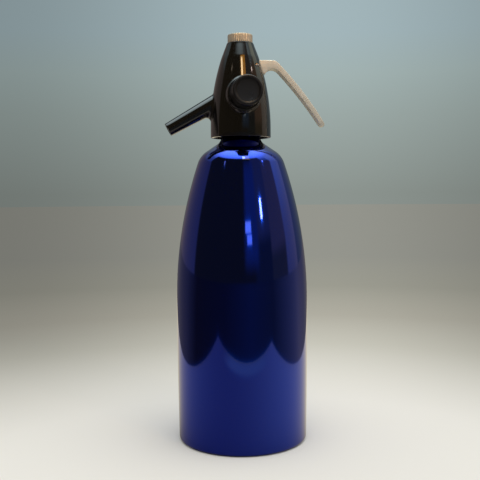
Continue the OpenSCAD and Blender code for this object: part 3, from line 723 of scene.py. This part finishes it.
nickel, tree, shader = finish_named(
    "satin_nickel_plate", Base_Color=linear("e0d5bf"), Metallic=0.45, Roughness=0.5
)
# The plate follows the cast skin's grain, about a millimetre across, and has yellowed in clouds of 8 mm.
tint(tree, shader, noise(tree, 120.0, 3.0), "d0c8b3", "e9e5da")
tree.links.new(relief(tree, noise(tree, 800.0, 1.0), 0.15, 0.00001), shader.inputs["Normal"])
for piece in (arm, hub, bridge, *fingers):
    paint(piece, nickel)
    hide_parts("lever")
    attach(piece, "lever")

# The pin is ground steel rod with broken edges, pressed across the casing just below its skin. Only its ends
# are selected, and their edges are bevelled.
pin = rod_across("lever_pin_rod", pivot, 1.5, 11)
bpy.ops.object.mode_set(mode="EDIT")
bpy.ops.mesh.select_all(action="DESELECT")
bpy.ops.object.mode_set(mode="OBJECT")
for face in pin.data.polygons:
    face.select = abs(face.normal.y) > 0.9
bpy.ops.object.mode_set(mode="EDIT")
bpy.context.tool_settings.mesh_select_mode = (False, False, True)
bpy.ops.mesh.bevel(offset=0.2 * MM, segments=2, affect="EDGES")
bpy.context.tool_settings.mesh_select_mode = (True, False, False)
bpy.ops.object.mode_set(mode="OBJECT")
smooth(pin)
paint(pin, steel)
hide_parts("lever_pin")
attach(pin, "head")

# ---- Top cap ----
# Plated brass screw cap with fine upright ribs. Its edges are worn to a warmer tone.
cap_low, cap_high, cap_rib_count = LIP + 56.35, LIP + 62.85, 40
cap_outline = [(6, LIP + 46.7), (7.5, LIP + 46.7), (7.5, cap_low), (9.1, cap_low), (9.4, cap_low + 0.15)]
cap_outline += [(9.6, cap_low + 0.5 + 4.9 * i / 10) for i in range(11)]
cap_outline += arc((8.7, cap_high - 0.9), 0.9, 15, 90, 8) + [(6, cap_high), (0, cap_high)]
cap_outline = [(0, cap_low + 2.5), (6, cap_low + 2.5)] + cap_outline
top_cap = turned("top_cap_ribbed", cap_outline, steps=cap_rib_count * 10)
for vertex in top_cap.data.vertices:
    radius = math.hypot(vertex.co.x, vertex.co.y) / MM
    height = vertex.co.z / MM
    if radius > 9.25 and cap_low + 0.3 < height:
        turn = math.atan2(vertex.co.y, vertex.co.x)
        groove = 0.28 * (0.5 - 0.5 * math.cos(cap_rib_count * turn)) ** 1.5
        vertex.co.x *= 1 - groove / radius
        vertex.co.y *= 1 - groove / radius
plate, tree, shader = finish_named(
    "nickel_plated_brass", Base_Color=linear("e6d6b6"), Metallic=0.7, Roughness=0.36
)
# Fingers have worn the plate in clouds 3 mm across, and the brass tints it there.
tint(tree, shader, noise(tree, 300.0, 3.0), "cdbb98", "efe9df")
paint(top_cap, plate)
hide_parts("top_cap")
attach(top_cap, "head")
refinish(brass, "top_bush")

fibre, tree, shader = finish_named("pressed_fibre", Base_Color=linear("6a3a2b"), Roughness=0.8)
# Short fibres, half a millimetre across.
tint(tree, shader, noise(tree, 2000.0, 5.0), "55291d", "7d4a38")
refinish(fibre, "top_cap_washer")

# ---- Studio ----
# A pale round floor, soft overhead light, and a plain room that only the gloss shows: walls at the sides, a
# bright ceiling, a dark opening in front and a few small lamps and panes in it.
bpy.ops.mesh.primitive_circle_add(vertices=128, radius=12, fill_type="NGON", location=(0, 0, 0))
floor = bpy.context.object
floor.name = "floor"
# Matt board: it has no gloss of its own, so only its colour and the soft shadow show.
pale, tree, shader = finish_named("pale_floor", Roughness=1.0, Specular_IOR_Level=0.0)
place = add(tree, "ShaderNodeTexCoord").outputs["Object"]


def shades(source, *stops):
    """A ramp over a value, from (position, colour) stops; a plain number is a grey."""
    ramp = add(tree, "ShaderNodeValToRGB", {"Fac": source})
    elements = ramp.color_ramp.elements
    elements.remove(elements[1])
    for i, (position, colour) in enumerate(stops):
        element = elements[0] if i == 0 else elements.new(position)
        element.position = position
        element.color = linear(colour) if isinstance(colour, str) else (colour, colour, colour, 1)
    return ramp.outputs["Color"]


def over(below, colour, mask):
    """Lays a colour over another where the mask is 1."""
    low, high = (c if isinstance(c, bpy.types.NodeSocket) else (*c, 1) for c in (below, colour))
    mix = add(tree, "ShaderNodeMix", {"Factor": mask, "A": low, "B": high}, data_type="RGBA")
    return mix.outputs["Result"]


def sums(operation, first, second=0.0):
    """A number from one or two others."""
    return add(tree, "ShaderNodeMath", {0: first, 1: second}, operation=operation).outputs[0]


def vectors(operation, first, second=(0, 0, 0)):
    """A "Vector" from one or two others, or a "Value": a length or a product."""
    return add(tree, "ShaderNodeVectorMath", {0: first, 1: second}, operation=operation).outputs


# What the camera sees: the floor's colour greys off over six metres, and more so at the sides. It is painted
# shade: the board is lit evenly, and the fall of light away from the siphon is in its colour.
reach = vectors("LENGTH", vectors("ADD", place, (0, 0.12, 0))["Vector"])["Value"]
seen = shades(
    sums("DIVIDE", reach, 6.0),
    (0.038, "e8e6dc"),
    (0.081, "c3c1b4"),
    (0.118, "aca99c"),
    (0.18, "99988c"),
    (0.3, "929289"),
)


def ranged(source, low, high, first, last, kind="SMOOTHSTEP"):
    """Turns a number that goes from low to high into one that goes from first to last."""
    limits = {"From Min": low, "From Max": high, "To Min": first, "To Max": last}
    node = add(tree, "ShaderNodeMapRange", {"Value": source, **limits}, interpolation_type=kind)
    return node.outputs["Result"]


def painted_side_shade(x, y):
    """Dims what lies more than a few degrees to either side of the backdrop's lightest part: painted shade
    where the light falls off to the sides.
    """
    aside = sums("ABSOLUTE", sums("SUBTRACT", sums("DEGREES", sums("ARCTAN2", x, y)), 12.0))
    return ranged(aside, 1.0, 24.0, 1.0, 0.62)


def scaled(colour, factor):
    """A colour times a number."""
    node = add(tree, "ShaderNodeVectorMath", {0: colour, "Scale": factor}, operation="SCALE")
    return node.outputs["Vector"]


# The painted side shade is measured from below the camera, and starts half a metre away from there.
from_camera = vectors("ADD", place, (0.071, 0.57, 0))["Vector"]
split = add(tree, "ShaderNodeSeparateXYZ", {"Vector": from_camera}).outputs
far = ranged(vectors("LENGTH", from_camera)["Value"], 0.48, 1.05, 0.0, 1.0)
dimmed = scaled(seen, painted_side_shade(split["X"], split["Y"]))
seen = over(seen, dimmed, far)
# What the gloss sees, a painted reflection that the camera doesn't see on the floor: a sheet that ends 335 mm
# in front and 300 mm beside the siphon, on a dark ground.
split = add(tree, "ShaderNodeSeparateXYZ", {"Vector": place}).outputs
# The sheet is painted lighter towards the back right and darker in front: painted light and shade across it.
around = vectors("NORMALIZE", place)["Vector"]
sheet_painted_light = vectors("DOT_PRODUCT", around, (0.25, 0.433, 0))["Value"]
sheet = over((0.17, 0.14, 0.155), (0.68, 0.6, 0.42), sums("ADD", sheet_painted_light, 0.5))
turn = sums("ARCTAN2", split["X"], sums("MULTIPLY", split["Y"], -1.0))
# The ground's tone goes round with the direction: from behind, by the left, the front and the right.
ground = shades(
    ranged(turn, -math.pi, math.pi, 0.0, 1.0, "LINEAR"),
    (0.0, "58565a"),
    (0.18, "564d44"),
    (0.25, "352a24"),
    (0.4, "2f2a2a"),
    (0.52, "34383e"),
    (0.63, "3c3934"),
    (0.79, "857764"),
    (0.85, "615d5c"),
)
# The sheet's front edge curls up: a band of painted light along it stands for the light that the curl
# catches.
curl_front, curl_back, curl_half, curl_end = -0.29, -0.262, 0.12, 0.25
curl = ranged(split["Y"], curl_front, curl_back, 1.0, 0.0)
curl = sums("MULTIPLY", curl, ranged(sums("ABSOLUTE", split["X"]), curl_half, curl_end, 1.0, 0.0))
sheet = over(sheet, (0.29, 0.3, 0.24), curl)
# Its edges: in front, at the right, and at the left, where it lies askew.
on_sheet = sums("GREATER_THAN", split["Y"], -0.335)
on_sheet = sums("MULTIPLY", on_sheet, sums("LESS_THAN", split["X"], 0.3))
askew = sums("SUBTRACT", split["X"], sums("MULTIPLY", split["Y"], 0.18))
on_sheet = sums("MULTIPLY", on_sheet, sums("GREATER_THAN", askew, -0.3))
mirrored = over(ground, sheet, on_sheet)
glossy = add(tree, "ShaderNodeLightPath").outputs["Is Glossy Ray"]
tree.links.new(over(seen, mirrored, glossy), shader.inputs["Base Color"])
paint(floor, pale)

# Soft light from above, a little from the front right. The gloss doesn't show it.
lamp_data = bpy.data.lights.new("overhead", "SUN")
lamp_data.energy = 1.4
lamp_data.angle = math.radians(70)
lamp = bpy.data.objects.new("overhead", lamp_data)
lamp.rotation_euler = (math.radians(12), math.radians(8), 0)
lamp.visible_glossy = False
bpy.context.scene.collection.objects.link(lamp)

# Small lamps that the gloss shows as lights: a warm one and its dim amber shade close in front of the head
# and above it, out of the picture, and two further off at the right. Each row has the width, the height, the
# watts, the colour and the position, in metres. All of them face the head.
head_centre = Vector((0, 0, 0.29))
for name, width, tall, energy, colour, position in (
    ("small_lamp", 0.016, 0.044, 0.022, (0.95, 0.7, 0.4), (0.004, -0.12, 0.372)),
    ("lamp_shade", 0.055, 0.075, 0.026, (1.0, 0.41, 0.04), (0.018, -0.126, 0.376)),
    ("right_lamp", 0.2, 0.36, 3.3, (1.0, 0.79, 0.64), (1.561, -2.314, 1.3)),
    ("far_right_lamp", 0.21, 0.105, 0.49, (1.0, 0.79, 0.71), (2.071, -1.294, 1.942)),
):
    lamp_data = bpy.data.lights.new(name, "AREA")
    lamp_data.shape = "RECTANGLE"
    lamp_data.size, lamp_data.size_y = width, tall
    lamp_data.energy = energy
    lamp_data.color = colour
    lamp = bpy.data.objects.new(name, lamp_data)
    lamp.location = position
    lamp.rotation_euler = (head_centre - lamp.location).to_track_quat("-Z", "Y").to_euler()
    lamp.visible_camera = False
    bpy.context.scene.collection.objects.link(lamp)

world = bpy.data.worlds.new("studio")
bpy.context.scene.world = world
world.use_nodes = True
tree = world.node_tree
tree.nodes.clear()
way = add(tree, "ShaderNodeTexCoord").outputs["Generated"]
split = add(tree, "ShaderNodeSeparateXYZ", {"Vector": way}).outputs
elevation = sums("DEGREES", sums("ARCSINE", split["Z"]))
azimuth = sums("DEGREES", sums("ARCTAN2", split["X"], sums("MULTIPLY", split["Y"], -1.0)))


def band(source, low, high, soft):
    """1 between two angles in degrees, fading to 0 over soft degrees outside them."""
    rise = ranged(source, low - soft, low, 0.0, 1.0)
    return sums("MULTIPLY", rise, ranged(source, high, high + soft, 1.0, 0.0))


def patch(azimuths, elevations, soft):
    """A mask for a rectangle of directions."""
    return sums("MULTIPLY", band(azimuth, *azimuths, soft), band(elevation, *elevations, soft))


# The walls are dark at the table's height and lighten towards the ceiling, in cool daylight.
climb = ranged(elevation, -30.0, 90.0, 0.0, 1.0, "LINEAR")
walls = shades(
    climb,
    (0.25, 0.1),
    (0.35, 0.13),
    (0.45, 0.18),
    (0.55, 0.25),
    (0.617, 0.4),
    (0.65, 0.7),
    (0.7, 1.2),
    (0.75, 1.7),
    (0.8, 2.2),
    (1.0, 2.8),
)
seen = vectors("MULTIPLY", walls, (0.85, 1.02, 1.06))["Vector"]
right_wall = shades(
    climb,
    (0.15, "7d6e60"),
    (0.35, "9b8f82"),
    (0.45, "aaada2"),
    (0.65, "f6fbe4"),
)
seen = over(seen, right_wall, patch((82, 110), (-40, 48), 5))
# What stands in the room: azimuths from the front towards the right and elevations, in degrees, the softness
# of the edges in degrees, and the colour. The large dark opening comes first, furniture and panes follow.
room = (
    ((-98, 22), (-40, 50), 5, (0.045, 0.033, 0.018)),
    ((-179, -144), (37, 52), 3, (0.03, 0.03, 0.04)),
    ((22, 50), (-40, 14), 6, (0.045, 0.045, 0.04)),
    ((22, 50), (16, 50), 6, (0.12, 0.1, 0.09)),
    ((52, 80), (-40, 8), 5, (0.11, 0.08, 0.045)),
    ((52, 80), (10, 34), 5, (0.23, 0.14, 0.09)),
    ((-165, -102), (-40, 26), 6, (0.155, 0.125, 0.115)),
    ((4, 20), (9, 35), 8, (0.055, 0.085, 0.135)),
    ((-56, -54), (36, 38), 1.0, (1.5, 1.2, 0.9)),
    ((1, 11), (16, 19), 0.8, (1.5, 1.7, 1.8)),
    ((4, 12), (12.2, 14.6), 0.8, (1.3, 1.5, 1.7)),
)
for azimuths, elevations, soft, colour in room:
    seen = over(seen, colour, patch(azimuths, elevations, soft))
# What the camera sees behind the floor: a blue-grey wall, lighter upwards, and lightest a little right of the
# middle, with painted shade to either side of that.
backdrop = shades(
    sums("DIVIDE", elevation, 15.0),
    (0.0, "8c948f"),
    (0.4, "9ba8a5"),
    (0.6, "a2b2b1"),
    (0.8, "a2b5ba"),
)
backdrop = scaled(backdrop, painted_side_shade(split["X"], split["Y"]))
# Everything that isn't mirrored is lit evenly; only the gloss gets the room, and the camera the backdrop.
rays = add(tree, "ShaderNodeLightPath").outputs
lit = over((0.6, 0.61, 0.63), seen, rays["Is Glossy Ray"])
lit = over(lit, backdrop, rays["Is Camera Ray"])
glow = add(tree, "ShaderNodeBackground", {"Color": lit, "Strength": 1.0})
add(tree, "ShaderNodeOutputWorld", {"Surface": glow.outputs[0]})
world.cycles.sampling_method = "NONE"

bpy.context.scene.view_settings.view_transform = "Standard"
